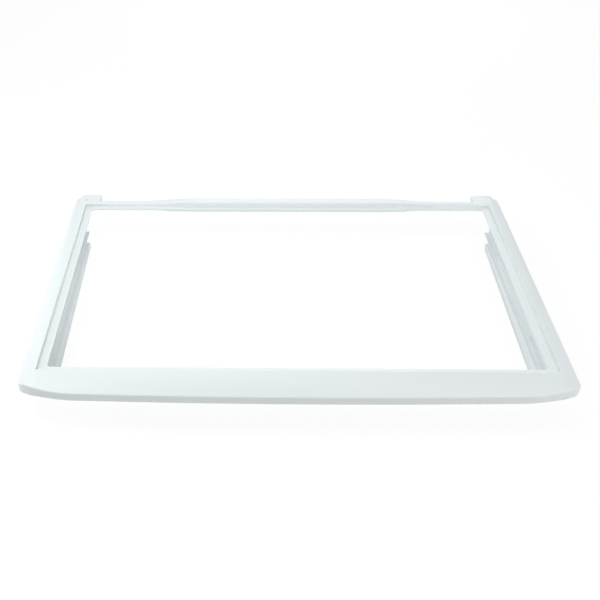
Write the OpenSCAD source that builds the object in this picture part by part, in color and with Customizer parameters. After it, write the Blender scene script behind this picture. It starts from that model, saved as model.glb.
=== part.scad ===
// Refrigerator shelf frame for a glass pane, with drawer runners under both sides.
// One injection moulding: open underneath, ribbed, no pane fitted.
// X runs across, Y from the front rail to the rear, Z up. Millimetres.

/* [Frame] */
// Width over the side rails
frame_w = 680; // [500:1:900]
// Depth from the middle of the front face to the rear tabs
frame_d = 464.4; // [380:1:560]
// Height of the side skirts, below the rim
skirt_h = 17; // [14:0.5:22]
// Wall of the rails
skin = 2.6; // [2:0.1:3.4]
// Wall of ribs and runners
rib_t = 2.2; // [1.6:0.1:2.8]
// Spacing of the ribs under the rails
rib_pitch = 62; // [40:1:90]

/* [Glass seat] */
// Width of the side rim, outside the pane
rim_w = 20; // [17:0.5:26]
// Width of the ledge under the pane, at the sides
ledge_w = 11.5; // [8:0.5:16]
// Width of the ledge at the front
front_ledge_w = 9.7; // [7:0.1:14]
// Width of the ledge at the rear
rear_ledge_w = 8; // [6:0.5:12]
// Depth of the seat, as deep as the pane is thick
seat_h = 4.2; // [3:0.1:6]
// Thickness of the ledge
ledge_t = 2; // [1.6:0.1:3]
// Corner radius of the opening
open_r = 5; // [2:0.5:9]

/* [Front rail] */
// Width of the front rail's top, at the middle
front_w = 43.4; // [36:0.1:56]
// Fall of the top from the pane to the front face
front_fall = 3; // [1:0.1:5]
// Height of the front face
fascia_h = 11.2; // [9:0.1:13]
// How far the middle of the front bows out
bow = 3.7; // [1:0.1:8]
// Length of the swept end at each side
sweep_l = 72; // [50:1:90]
// Radius of the swept ends
sweep_r = 155; // [120:1:220]
// Radius of the two front corners
corner_r = 9; // [2:0.5:12]

/* [Side rails] */
// Width of the rolled outer slope at the front
slope_front_w = 18.5; // [12:0.5:19]
// Width of the gentle shoulder at the rear
shoulder_w = 11; // [7:0.5:15]
// Width of the steep slope at the rear
slope_rear_w = 5.5; // [4:0.5:7]
// Fall of the slope to its outer edge
slope_h = 7.5; // [5:0.1:9]
// Fall of the gentle shoulder for each mm across
shoulder_fall = 0.12; // [0.05:0.01:0.2]
// Distance of the slope's front end from the pane's front edge, at the outer edge
mitre_y = 12; // [6:0.5:16]

/* [Rear rail] */
// Width of the rim along the rear
rear_w = 10; // [8:0.5:14]
// Height that the middle of the rear rim rises
rear_rise = 5; // [2:0.5:9]
// How far the raised middle comes forward over the ledge
rear_thick = 5; // [2:0.5:5.5]
// Height of the rear rail below its rim
rear_h = 10.4; // [9:0.1:12]
// Half length of the raised middle, at full height
rise_half = 150; // [90:1:180]
// Length of the ramp at each end of it
ramp_l = 84; // [40:1:100]
// Half length of the stiffening lip under the rear ledge
lip_half = 192; // [120:1:240]
// Depth of that lip below the seat
lip_h = 4; // [3:0.1:7]

/* [Rear tabs] */
// Width of a tab
tab_w = 33; // [20:0.5:45]
// Length of a tab behind the rear rail
tab_l = 21; // [12:0.5:30]
// Distance of a tab from the frame's side
tab_inset = 9; // [8:0.5:16]
// Step from the rim down to a tab
tab_step = 1.2; // [0.5:0.1:3]
// Height of a tab
tab_h = 6.5; // [5:0.5:9]
// Radius of a tab's outer corner
tab_r = 10; // [4:0.5:14]
// Length that the side rails reach behind the rear rail
side_over = 8; // [4:0.5:11]

/* [Drawer runners] */
// Height of the channel's floor below the rim
floor_drop = 36; // [30:0.5:44]
// Width of the raised track that the drawer's flange slides on
track_w = 6.8; // [5:0.1:9]
// Step from the track down to the rounded inner shoulder
track_step = 1.4; // [0.8:0.1:2.4]
// Height of the inner web below the rim, at the front
web_front = 58.3; // [50:0.1:66]
// Height of the inner web below the rim, at its rear end
web_rear = 46.6; // [44:0.1:50]
// Distance from the pane's front edge to the runner's front end
runner_front = 36; // [24:1:60]
// Distance from the pane's front edge to the web's rear end
web_end = 336; // [260:1:360]
// Length that the track runs on behind the web
track_over = 30; // [10:1:40]
// Radius of the web's front corner
web_r = 14; // [6:1:16]
// Distance of the drawer stop from the pane's front edge
stop_y = 108; // [80:1:140]
// Height of the drawer stop
stop_h = 2.2; // [1.2:0.1:3]

/* [Hidden] */
eps = 0.01;
half_w = frame_w / 2;
seat_x = half_w - rim_w;
open_x = seat_x - ledge_w;
back_y = frame_d - front_w - tab_l;
seat_y = back_y - rear_w;
open_y0 = front_ledge_w;
open_y1 = seat_y - rear_ledge_w;
mid_y = frame_d / 2 - front_w;
sweep_x = half_w - sweep_l;
under_ledge = seat_h + ledge_t;
wall_x = seat_x + 1;
wall_out = wall_x + rib_t;
fascia_z = -front_fall - fascia_h;
track_x = wall_x - track_w;
track_end = web_end + track_over;
web_fall = (web_front - web_rear) / (web_end - runner_front);
curve_n = 40;
arc_n = 9;
ramp_n = 8;

// Front face in plan: a gentle bow, then a swept arc at each end
function bow_y(x) = -front_w + bow * pow(x / sweep_x, 2);
function sweep_y(d) = 2 * bow * d / sweep_x + sweep_r - sqrt(sweep_r * sweep_r - d * d);
function face_y(x) = abs(x) < sweep_x
    ? bow_y(x)
    : bow_y(sweep_x) + sweep_y(abs(x) - sweep_x);
function face_slope(x) = (face_y(abs(x)) - face_y(abs(x) - 1)) * sign(x);

// Smooth ramp from 0 to 1
function ease(t) = t <= 0 ? 0 : t >= 1 ? 1 : t * t * (3 - 2 * t);

// Points of a quarter round that ends at each of two points, bulging to the corner
function rounded(a, corner, b) = [
    for (i = [0 : arc_n])
        let (t = i / arc_n, u = 1 - t)
        a * u * u + corner * 2 * t * u + b * t * t
];

// Curve of the front face, moved back by a wall, with rounded ends at the sides
function face_points(wall) = let (
    side = half_w - wall,
    last = side - corner_r,
    end_y = face_y(last) + wall * norm([1, face_slope(last)]),
    corner = [side, end_y + corner_r * face_slope(last)],
    right = concat(
        [for (i = [0 : curve_n])
            let (x = last * i / curve_n)
            [x, face_y(x) + wall * norm([1, face_slope(x)])]],
        rounded([last, end_y], corner, corner + [0, corner_r]))
) concat(
    [for (i = [len(right) - 1 : -1 : 1]) [-right[i].x, right[i].y]],
    right
);

module both_sides() {
    children();
    mirror([1, 0, 0]) children();
}

module plate(z0, z1) {
    translate([0, 0, z0]) linear_extrude(z1 - z0) children();
}

// Profile in X and Z, drawn along Y
module along_y(y0, y1) {
    translate([0, y1, 0]) rotate([90, 0, 0]) linear_extrude(y1 - y0) children();
}

// Profile in Y and Z, drawn along X
module along_x(x0, x1) {
    translate([x0, 0, 0]) rotate([90, 0, 90]) linear_extrude(x1 - x0) children();
}

module box2(x0, x1, y0, y1) {
    translate([x0, y0]) square([x1 - x0, y1 - y0]);
}

module rounded_box2(x0, x1, y0, y1, r) {
    for (x = [x0 + r, x1 - r], y = [y0 + r, y1 - r])
        translate([x, y]) circle(r, $fn = 48);
    box2(x0 + r, x1 - r, y0, y1);
    box2(x0, x1, y0 + r, y1 - r);
}

// Outline of the ring, seen from above, with its wall taken off when hollow
module outline2(wall = 0) {
    polygon(concat(face_points(wall), [
        [half_w - wall, back_y - wall],
        [-half_w + wall, back_y - wall]
    ]));
    both_sides() rail_end2(wall);
}

// Rear end of a side rail, with a rounded outer corner
module rail_end2(wall) {
    r = 6;
    x1 = half_w - wall;
    y1 = back_y + side_over - wall;
    polygon(concat(
        [[seat_x + wall, back_y - rear_w], [x1, back_y - rear_w]],
        rounded([x1, y1 - r], [x1, y1], [x1 - r, y1]),
        [[seat_x + wall, y1]]
    ));
}

// Space above the plane through three points, lowered by a wall for the hollow
module above_plane(a, b, c, wall) {
    n = cross(b - a, c - a);
    up = n / norm(n) * (n.z < 0 ? -1 : 1);
    translate(a)
        rotate([0, acos(up.z), atan2(up.y, up.x)])
            translate([-900, -900, -wall]) cube([1800, 1800, 90]);
}

// Space above a side rail: gentle shoulder, rolled slope and steep edge
module above_slope(wall = 0) {
    foot = [half_w, 0, -slope_h];
    above_plane([slope_x, 0, 0], [half_w - shoulder_w, back_y, 0],
        [half_w, 0, -shoulder_fall * slope_front_w], wall);
    above_plane([slope_x, 0, 0], [half_w - slope_rear_w, back_y, 0], foot, wall);
    above_plane([half_w - slope_rear_w, 0, 0], foot, foot + [0, 100, 0], wall);
}

// Space above the facet in which the slope runs out at the front corner
module above_corner(wall = 0) {
    above_plane([slope_x, -1, front_z(-1)], [half_w, -mitre_y, slope_z(-mitre_y)],
        [half_w - 8, -17.5, -3], wall);
}

slope_x = half_w - slope_front_w;
function front_z(y) = front_fall * y / front_w;
function slope_z(y) = -slope_h
    + slope_h / slope_front_w * (slope_front_w - slope_rear_w) * y / back_y;

// Space above the front rail's falling top
module above_front(wall = 0) {
    along_x(-half_w - 5, half_w + 5)
        polygon([
            [60, -wall + 0],
            [0, -wall],
            [-front_w - 10, front_z(-front_w - 10) - wall],
            [-front_w - 10, 40],
            [60, 40]
        ]);
}

// Everything over the top of the rails
module above_top(wall = 0) {
    above_front(wall);
    both_sides() intersection() {
        above_slope(wall);
        above_corner(wall);
    }
}

// Plan of the raised middle of the rear rim; inset for its hollow
module rise_plan2(inset = 0) {
    foot = rise_half + ramp_l;
    polygon([
        [-foot, back_y - inset],
        [-foot, seat_y + inset],
        [-rise_half, seat_y - rear_thick + inset],
        [rise_half, seat_y - rear_thick + inset],
        [foot, seat_y + inset],
        [foot, back_y - inset]
    ]);
}

// Raised middle itself: flat on top, with an eased ramp down to the rim at each end
module rise_body(inset = 0) {
    function ramp(i, side) = [
        side * (rise_half + ramp_l * i / ramp_n),
        rear_rise * (1 - ease(i / ramp_n))
    ];
    foot = rise_half + ramp_l;
    intersection() {
        along_y(seat_y - rear_thick, back_y)
            polygon(concat(
                [for (i = [ramp_n : -1 : 0]) ramp(i, -1)],
                [for (i = [0 : ramp_n]) ramp(i, 1)],
                [[foot, -under_ledge], [-foot, -under_ledge]]
            ));
        plate(-rear_h, rear_rise + 1) rise_plan2(inset);
    }
}

// Hollows under the rails, with the ribs left standing
module pockets2() {
    difference() {
        intersection() {
            outline2(skin);
            union() {
                box2(-half_w, half_w, -front_w - 1, -rib_t);
                both_sides() box2(wall_out, half_w, -front_w, back_y + side_over);
                box2(-half_w, half_w, seat_y + rib_t, back_y - rib_t);
                rise_plan2(rib_t);
            }
        }
        ribs2();
        both_sides() box2(wall_x, wall_out, -front_w, back_y);
    }
}

module ribs2() {
    n = floor(half_w / rib_pitch);
    for (i = [-n : n])
        box2(i * rib_pitch - rib_t / 2, i * rib_pitch + rib_t / 2, -front_w - 5, back_y + 20);
    m = floor(back_y / rib_pitch);
    both_sides() for (i = [0 : m])
        box2(wall_x, half_w, (i + 0.5) * rib_pitch - rib_t / 2, (i + 0.5) * rib_pitch + rib_t / 2);
}

// Ring of the four rails, as one moulded shell
module rails() {
    difference() {
        union() {
            plate(-skirt_h, 0) outline2();
            rise_body();
        }
        plate(-skirt_h - 1, rear_rise + 1)
            rounded_box2(-open_x, open_x, open_y0, open_y1, open_r);
        above_top();
        plate(-seat_h, 1) difference() {
            rounded_box2(-seat_x, seat_x, 0, seat_y, 1.5);
            rise_plan2();
        }
        plate(-skirt_h - 1, -under_ledge) difference() {
            box2(-wall_x, wall_x, 0, seat_y);
            rise_plan2();
        }
        difference() {
            union() {
                plate(-skirt_h - 1, -skin) pockets2();
                translate([0, 0, -skin]) rise_body(rib_t);
            }
            above_top(skin);
            plate(-skirt_h - 2, rear_rise) ribs2();
        }
        front_trim();
        along_x(-seat_x, seat_x)
            box2(seat_y - rear_thick - 20, back_y + 30, -skirt_h - 1, -rear_h);
    }
}

// Clears the front rail below its face, and eases to the deeper side skirts
module front_trim() {
    along_y(-front_w - 10, front_ledge_w + 10)
        polygon([
            [-half_w + 8, -skirt_h - 1],
            [-half_w + 8, -skirt_h],
            [-half_w + 44, fascia_z],
            [half_w - 44, fascia_z],
            [half_w - 8, -skirt_h],
            [half_w - 8, -skirt_h - 1]
        ]);
}

// Lip that stiffens the rear ledge, with slanted ends
module rear_lip() {
    along_y(open_y1, open_y1 + rib_t)
        polygon([
            [-lip_half, -seat_h - 0.5],
            [lip_half, -seat_h - 0.5],
            [lip_half, -under_ledge],
            [lip_half - lip_h, -seat_h - lip_h],
            [-lip_half + lip_h, -seat_h - lip_h],
            [-lip_half, -under_ledge]
        ]);
}

// Tab at a rear corner: a short hollow tongue with one rib
module rear_tab() {
    x1 = half_w - tab_inset;
    x0 = x1 - tab_w;
    y1 = back_y + tab_l;
    r = tab_r;
    difference() {
        plate(-tab_step - tab_h, -tab_step)
            polygon(concat(
                [[x0, back_y - skin], [x1, back_y - skin]],
                rounded([x1, y1 - r], [x1, y1], [x1 - r, y1]),
                rounded([x0 + 2, y1], [x0, y1], [x0, y1 - 2])
            ));
        plate(-tab_step - tab_h - 1, -tab_step - skin)
            box2(x0 + skin, x0 + tab_w * 0.5 - rib_t / 2, back_y, y1 - skin);
        plate(-tab_step - tab_h - 1, -tab_step - skin)
            box2(x0 + tab_w * 0.5 + rib_t / 2, x1 - skin - 1, back_y, y1 - skin - 4);
    }
}

// Floor, shoulder and inner web of a runner, as one bent profile
module runner_profile() {
    polygon([
        [wall_out, -floor_drop],
        [track_x, -floor_drop],
        [track_x - 0.5, -floor_drop - track_step],
        [open_x + 1.6, -floor_drop - track_step - 0.5],
        [open_x + 0.5, -floor_drop - track_step - 1],
        [open_x, -floor_drop - track_step - 2],
        [open_x, -web_front - 10],
        [open_x + rib_t, -web_front - 10],
        [open_x + rib_t, -floor_drop - track_step - rib_t - 0.4],
        [wall_out, -floor_drop - rib_t]
    ]);
}

// Space below the web's slanting lower edge
module below_web() {
    along_x(open_x - 5, wall_out + 5)
        polygon([
            [runner_front - 5, -web_front - 40],
            [runner_front - 5, -web_front + web_r],
            [runner_front, -web_front + web_r],
            for (p = rounded([runner_front, -web_front + web_r],
                [runner_front, -web_front], [runner_front + web_r, web_z(web_r)])) p,
            [web_end + 20, web_z(web_end + 20 - runner_front)],
            [web_end + 20, -web_front - 40]
        ]);
}

function web_z(d) = -web_front + web_fall * d;

module runner() {
    // Outer wall, from the front rail to the end of the track
    along_x(wall_x, wall_out)
        polygon([
            [-rib_t, -skin],
            [track_end + 26, -skin],
            [track_end + 26, -skirt_h],
            [track_end, -floor_drop + 4],
            [track_end, -floor_drop - rib_t],
            [runner_front, -floor_drop - rib_t],
            [6, fascia_z],
            [-rib_t, fascia_z]
        ]);
    difference() {
        along_y(runner_front, web_end) runner_profile();
        below_web();
    }
    // Track on its own, behind the web
    along_y(web_end - eps, track_end)
        polygon([
            [wall_out, -floor_drop],
            [track_x, -floor_drop],
            [track_x, -floor_drop - rib_t],
            [wall_out, -floor_drop - rib_t]
        ]);
    // Stop that the drawer's flange rides over
    along_x(track_x, wall_out)
        polygon([
            [stop_y - 7, -floor_drop - 0.5],
            [stop_y - 2, -floor_drop + stop_h],
            [stop_y + 2, -floor_drop + stop_h],
            [stop_y + 5, -floor_drop - 0.5]
        ]);
    runner_gussets();
}

// Gussets that brace the runner's wall against the side skirt
module runner_gussets() {
    m = floor((track_end - 10) / rib_pitch);
    for (i = [0 : m - 1])
        along_y((i + 0.5) * rib_pitch - rib_t / 2, (i + 0.5) * rib_pitch + rib_t / 2)
            polygon([
                [wall_out - 0.5, -skirt_h + 1],
                [half_w - skin + 0.5, -skirt_h + 1],
                [half_w - skin + 0.5, -skirt_h],
                [wall_out, -floor_drop - rib_t],
                [wall_out - 0.5, -floor_drop - rib_t]
            ]);
}

module shelf_frame() {
    color("#eef3f4") translate([0, -mid_y, -web_z(web_r)]) {
        rails();
        rear_lip();
        both_sides() rear_tab();
        both_sides() runner();
    }
}

shelf_frame();
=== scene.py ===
import bpy
import bmesh
import math
from mathutils import Matrix, Vector


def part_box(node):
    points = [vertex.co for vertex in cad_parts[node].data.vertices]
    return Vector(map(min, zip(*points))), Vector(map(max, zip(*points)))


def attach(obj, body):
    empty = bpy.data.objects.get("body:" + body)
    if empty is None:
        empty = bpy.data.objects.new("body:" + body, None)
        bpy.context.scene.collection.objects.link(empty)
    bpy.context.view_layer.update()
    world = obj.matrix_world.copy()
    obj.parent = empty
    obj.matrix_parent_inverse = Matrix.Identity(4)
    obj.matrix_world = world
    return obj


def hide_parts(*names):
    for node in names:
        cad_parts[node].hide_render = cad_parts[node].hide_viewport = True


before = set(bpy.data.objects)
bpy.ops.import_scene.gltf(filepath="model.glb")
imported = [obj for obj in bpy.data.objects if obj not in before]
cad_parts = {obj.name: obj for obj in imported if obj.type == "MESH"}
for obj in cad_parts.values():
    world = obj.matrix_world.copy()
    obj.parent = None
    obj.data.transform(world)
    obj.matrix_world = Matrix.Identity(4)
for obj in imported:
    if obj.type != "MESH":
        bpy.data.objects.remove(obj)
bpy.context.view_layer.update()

scene = bpy.context.scene
mm = 0.001

# where the moulding sits, in mm, read off the CAD node's box and its own sizes
low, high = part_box("shelf_frame")
rearRise = 5.0    # the rear rail's raised middle stands this far over the rim
frontRail = 43.4  # the front rail's depth, up to the pane
place = {
    "rimTop": high.z / mm - rearRise,
    "paneFront": low.y / mm + frontRail,
    "paneSide": 320.0,               # half the pane's width
    "paneDeep": 390.0,
}


def local(vert):
    # x, y, z in mm from the middle of the pane's front edge, at rim height
    return Vector((vert.x / mm, vert.y / mm - place["paneFront"], vert.z / mm - place["rimTop"]))


shot = {
    "lens": 50.0,
    "sensor": 36.0,
    "away": (-0.0605, -0.9407, 0.7453),
    "heading": 1.39,
    "tilt": 52.41,
    "roll": -0.58,
    "shift": 0.1138,
}


def makeCamera():
    data = bpy.data.cameras.new("shotCamera")
    data.lens = shot["lens"]
    data.sensor_width = shot["sensor"]
    data.shift_x = shot["shift"]
    camera = bpy.data.objects.new("shotCamera", data)
    turn = (Matrix.Rotation(math.radians(shot["heading"]), 4, "Z")
            @ Matrix.Rotation(math.radians(shot["tilt"]), 4, "X")
            @ Matrix.Rotation(math.radians(shot["roll"]), 4, "Z"))
    camera.matrix_world = Matrix.Translation(shot["away"]) @ turn
    scene.collection.objects.link(camera)
    scene.camera = camera


makeCamera()
print("camera placed")


class Wire:
    # a node socket that takes part in ordinary expressions
    def __init__(self, graph, socket):
        self.graph, self.socket = graph, socket

    def math(self, operation, other, swap=False):
        pair = (other, self) if swap else (self, other)
        return self.graph.node("ShaderNodeMath", {"operation": operation}, {0: pair[0], 1: pair[1]})

    def __add__(self, other): return self.math("ADD", other)
    def __radd__(self, other): return self.math("ADD", other, True)
    def __sub__(self, other): return self.math("SUBTRACT", other)
    def __rsub__(self, other): return self.math("SUBTRACT", other, True)
    def __mul__(self, other): return self.math("MULTIPLY", other)
    def __rmul__(self, other): return self.math("MULTIPLY", other, True)
    def __truediv__(self, other): return self.math("DIVIDE", other)


class Graph:
    def __init__(self, name):
        self.material = bpy.data.materials.new(name)
        self.material.use_nodes = True
        self.tree = self.material.node_tree
        self.tree.nodes.clear()

    def node(self, kind, settings=None, values=None, out=0):
        made = self.tree.nodes.new(kind)
        for key, value in (settings or {}).items():
            setattr(made, key, value)
        for key, value in (values or {}).items():
            if isinstance(value, Wire):
                self.tree.links.new(value.socket, made.inputs[key])
            else:
                made.inputs[key].default_value = value
        return Wire(self, made.outputs[out]) if made.outputs else None


plasticLook = {
    "tone": (0.81, 0.847, 0.855, 1),
    "toneAway": (0.80, 0.838, 0.846, 1),
    "cloudScale": 9.0,
    "grainScale": 900.0,
    "roughness": 0.38,
    "roughnessSpread": 0.10,
    "grainStrength": 0.06,
    "grainDepth": 0.0002,
    "ior": 1.49,
}


def mouldedPlastic(look):
    g = Graph("mouldedPlastic")
    here = g.node("ShaderNodeTexCoord", out=3)  # Object coordinates
    cloud = g.node("ShaderNodeTexNoise", None,
                   {"Vector": here, "Scale": look["cloudScale"], "Detail": 3.0})
    grain = g.node("ShaderNodeTexNoise", None,
                   {"Vector": here, "Scale": look["grainScale"], "Detail": 2.0})
    tint = g.node("ShaderNodeMix", {"data_type": "RGBA"},
                  {0: cloud, 6: look["tone"], 7: look["toneAway"]}, out=2)
    rough = look["roughness"] + (cloud - 0.5) * look["roughnessSpread"]
    bump = g.node("ShaderNodeBump", None,
                  {"Strength": look["grainStrength"], "Distance": look["grainDepth"], "Height": grain})
    shader = g.node("ShaderNodeBsdfPrincipled", None,
                    {"Base Color": tint, "Roughness": rough, "Normal": bump, "IOR": look["ior"]})
    g.node("ShaderNodeOutputMaterial", None, {"Surface": shader})
    return g.material


plastic = mouldedPlastic(plasticLook)

# the moulding: a merged copy of the CAD node with every edge that shows rounded, radii in mm
edgeLook = {
    "widest": 2.0,          # the bevel's width at weight 1
    "steps": 3,
    "noseTop": 1.9,         # fascia meets the front rail's top
    "noseFoot": 0.7,
    "frontRim": 1.6,        # the bright edge in front of the pane
    "rim": 0.7,
    "ledge": 0.45,
    "rear": 0.9,
    "tab": 0.4,
    "tabReach": 255.0,
    "rearStart": 6.0,       # behind the pane
    "noseStart": -1.0,      # in front of the pane
    "onEdge": 0.3,
    "ledgeTop": -3.0,       # heights from the rim
    "ledgeFoot": -5.0,
    "rimFoot": -3.5,
    "runnerTop": -18.0,
    "isTop": 0.8,           # how far a face looks up, 1 for level
    "facesUp": 0.5,
    "facesOut": 0.3,
    "slopeFoot": 1.3,
    "runner": 0.6,
    "inside": 0.5,          # hollow corners
    "mergeGap": 0.01,
    "shortest": 0.26,
    "flatAngle": 0.3,
    "sharpAngle": 32.0,
    "creaseAngle": 3.0,     # a long fold steeper than this keeps its line
    "creaseReach": 40.0,
}

# corners too tight for the bevel, as boxes in mm: x range (both sides), y range, z range
tightSpots = {
    "rearCorner": ((321, 342), (396, 409), (-60, -1.5)),
    "underRear": ((0, 342), (378, 400), (-60, -4.5)),
    "runnerNose": ((308, 331), (24, 42), (-60, -20)),
    "runnerTail": ((308, 318), (330, 342), (-60, -30)),
    "skirtEnd": ((320, 342), (-30, -8), (-20, -5)),
    "slopeHead": ((321, 342), (-8, 14), (-12, -1)),
}


def inTightSpot(spot):
    for xs, ys, zs in tightSpots.values():
        if xs[0] <= abs(spot.x) <= xs[1] and ys[0] <= spot.y <= ys[1] and zs[0] <= spot.z <= zs[1]:
            return True
    return False


# where the fascia's sweep runs out into the side, in strips too narrow to round
noseEnd = {"side": 326, "front": -32, "back": -8, "gap": 0.7}


def isNoseEnd(spot):
    return abs(spot.x) > noseEnd["side"] and noseEnd["front"] < spot.y < noseEnd["back"]


def edgeRadius(edge):
    # 0 leaves the edge as it is
    if not edge.is_manifold:
        return 0.0
    look = edgeLook
    ends = [local(vert.co) for vert in edge.verts]
    middle = (ends[0] + ends[1]) / 2
    turn = math.degrees(edge.calc_face_angle_signed(0.0))
    lower, upper = sorted(face.normal.z for face in edge.link_faces)
    if any(inTightSpot(spot) for spot in ends + [middle]):
        return 0.0
    if abs(turn) < look["sharpAngle"]:
        return 0.0
    side, deep, height = abs(middle.x), middle.y, middle.z
    if deep > place["paneDeep"] + look["rearStart"] and side > look["tabReach"]:
        return look["tab"] if turn > 0 else 0.0
    if turn < 0:
        return look["inside"] if upper > look["facesUp"] else 0.0
    if deep < look["noseStart"] and lower < look["facesUp"]:
        if upper > look["isTop"]:
            return look["noseTop"]
        return look["noseFoot"] if lower < -look["facesUp"] else 0.0
    if abs(deep) < look["onEdge"] and height > look["noseStart"] and side < place["paneSide"]:
        return look["frontRim"]
    if look["ledgeFoot"] < height < look["ledgeTop"] and side < place["paneSide"] and deep > 0:
        return look["ledge"]
    if height < look["runnerTop"]:
        return look["runner"]
    if deep > place["paneDeep"]:
        return look["rear"] if upper > look["facesUp"] else look["rim"]
    if height < look["ledgeFoot"] and side > place["paneSide"]:
        return look["slopeFoot"] if upper > look["facesOut"] else look["rim"]
    return look["rim"] if height > look["rimFoot"] else look["inside"]


def makeMoulding():
    look = edgeLook
    mesh = bpy.data.meshes.new("shelfMoulding")
    bm = bmesh.new()
    bm.from_mesh(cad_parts["shelf_frame"].data)
    bmesh.ops.remove_doubles(bm, verts=bm.verts, dist=look["mergeGap"] * mm)
    bmesh.ops.dissolve_limit(bm, angle_limit=math.radians(look["flatAngle"]),
                             verts=bm.verts, edges=bm.edges)
    bmesh.ops.dissolve_degenerate(bm, dist=look["shortest"] * mm, edges=bm.edges)
    noseEnds = [vert for vert in bm.verts if isNoseEnd(local(vert.co))]
    bmesh.ops.remove_doubles(bm, verts=noseEnds, dist=noseEnd["gap"] * mm)
    weight = bm.edges.layers.float.new("bevel_weight_edge")
    rounded = 0
    for edge in bm.edges:
        radius = edgeRadius(edge)
        edge[weight] = radius / look["widest"]
        rounded += radius > 0
        turn = abs(math.degrees(edge.calc_face_angle_signed(0.0)))
        fold = turn > look["creaseAngle"] and edge.calc_length() > look["creaseReach"] * mm
        edge.smooth = radius > 0 or not (fold or turn > look["sharpAngle"])
    for face in bm.faces:
        face.smooth = True
    bm.to_mesh(mesh)
    bm.free()
    mesh.materials.append(plastic)
    moulding = bpy.data.objects.new("shelfMoulding", mesh)
    scene.collection.objects.link(moulding)
    bevel = moulding.modifiers.new("edges", "BEVEL")
    bevel.limit_method = "WEIGHT"
    bevel.width = look["widest"] * mm
    bevel.segments = look["steps"]
    bevel.use_clamp_overlap = False
    bevel.harden_normals = True
    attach(moulding, "root")
    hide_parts("shelf_frame")
    print("moulding rounded,", rounded, "edges")


makeMoulding()

stageLook = {
    "floorSize": 12.0,
    "floorTone": (0.82, 0.82, 0.82, 1),
    "whiteShare": 0.85,
    "whiteGlow": 1.05,
    "world": 0.385,
}
coolTone = (0.95, 1.0, 1.0)
warmTone = (1.0, 0.965, 0.99)
lamps = {
    "keyLamp": {"at": (-0.55, -0.1, 0.8), "size": (0.5, 0.5), "power": 3.25, "tone": coolTone},
    "fillLamp": {"at": (0.5, -0.1, 0.9), "size": (0.6, 0.6), "power": 1.9, "tone": coolTone},
    "leftLamp": {"at": (-1.5, 0.1, 0.5), "size": (0.6, 0.6), "power": 7.0, "tone": coolTone},
    "frontLamp": {"at": (1.4, -1.2, 0.6), "size": (0.8, 0.8), "power": 9.2, "tone": warmTone},
    "rearLamp": {"at": (0.2, 1.6, 0.8), "size": (1.2, 0.8), "power": 7.0, "tone": coolTone},
}
lampAim = (0, 0, 0.05)


def makeFloor():
    bm = bmesh.new()
    bmesh.ops.create_grid(bm, x_segments=1, y_segments=1, size=stageLook["floorSize"])
    mesh = bpy.data.meshes.new("floor")
    bm.to_mesh(mesh)
    bm.free()
    floor = bpy.data.objects.new("floor", mesh)
    scene.collection.objects.link(floor)
    g = Graph("floorPaper")
    seen = g.node("ShaderNodeLightPath", out=0)
    matt = g.node("ShaderNodeBsdfDiffuse", None, {"Color": stageLook["floorTone"]})
    glow = g.node("ShaderNodeEmission", None, {"Color": (1, 1, 1, 1), "Strength": stageLook["whiteGlow"]})
    both = g.node("ShaderNodeMixShader", None, {0: seen * stageLook["whiteShare"], 1: matt, 2: glow})
    g.node("ShaderNodeOutputMaterial", None, {"Surface": both})
    mesh.materials.append(g.material)


def makeLamp(name, look):
    data = bpy.data.lights.new(name, "AREA")
    data.shape = "RECTANGLE"
    data.size, data.size_y = look["size"]
    data.energy = look["power"]
    data.color = look["tone"]
    lamp = bpy.data.objects.new(name, data)
    toward = Vector(lampAim) - Vector(look["at"])
    turn = toward.to_track_quat("-Z", "Y").to_matrix().to_4x4()
    lamp.matrix_world = Matrix.Translation(look["at"]) @ turn
    scene.collection.objects.link(lamp)


def makeWorld(strength):
    world = bpy.data.worlds.new("studio")
    world.use_nodes = True
    scene.world = world
    tree = world.node_tree
    back = tree.nodes["Background"]
    back.inputs["Color"].default_value = (1, 1, 1, 1)
    path = tree.nodes.new("ShaderNodeLightPath")
    lift = tree.nodes.new("ShaderNodeMix")
    lift.inputs[2].default_value = strength
    lift.inputs[3].default_value = 1.0
    tree.links.new(path.outputs["Is Camera Ray"], lift.inputs[0])
    tree.links.new(lift.outputs[0], back.inputs["Strength"])


makeFloor()
for name, look in lamps.items():
    makeLamp(name, look)
makeWorld(stageLook["world"])
scene.view_settings.view_transform = "Standard"
print("stage lit")
